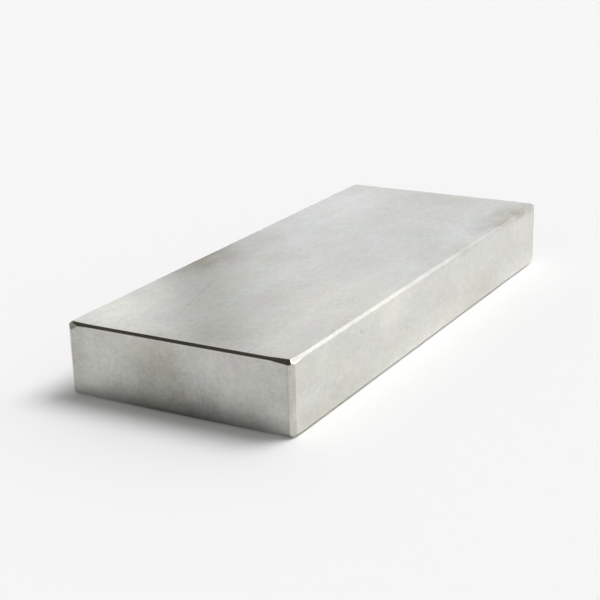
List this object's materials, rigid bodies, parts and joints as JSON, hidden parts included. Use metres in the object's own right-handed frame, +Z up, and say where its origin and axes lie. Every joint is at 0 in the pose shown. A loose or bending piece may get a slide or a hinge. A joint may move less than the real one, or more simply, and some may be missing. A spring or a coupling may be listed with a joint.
{
  "type": "block magnet",
  "caption": "Flat rectangular block magnet in satin nickel plate, with broken edges and worn corners; it grips by its large pole faces.",
  "frame": {"origin": "middle of the lower pole face, on the surface that the block lies on", "axes": "+X across the width, +Y along the length, +Z up through the thickness, from the lower pole face to the upper one"},
  "size_m": [0.05, 0.12, 0.015],
  "materials": {
    "nickel_plate": "satin nickel plate over the ground block, slightly cloudy, with faint rub marks and specks"
  },
  "bodies": {
    "root": {"magnet_block": "nickel_plate"}
  },
  "joints": []
}
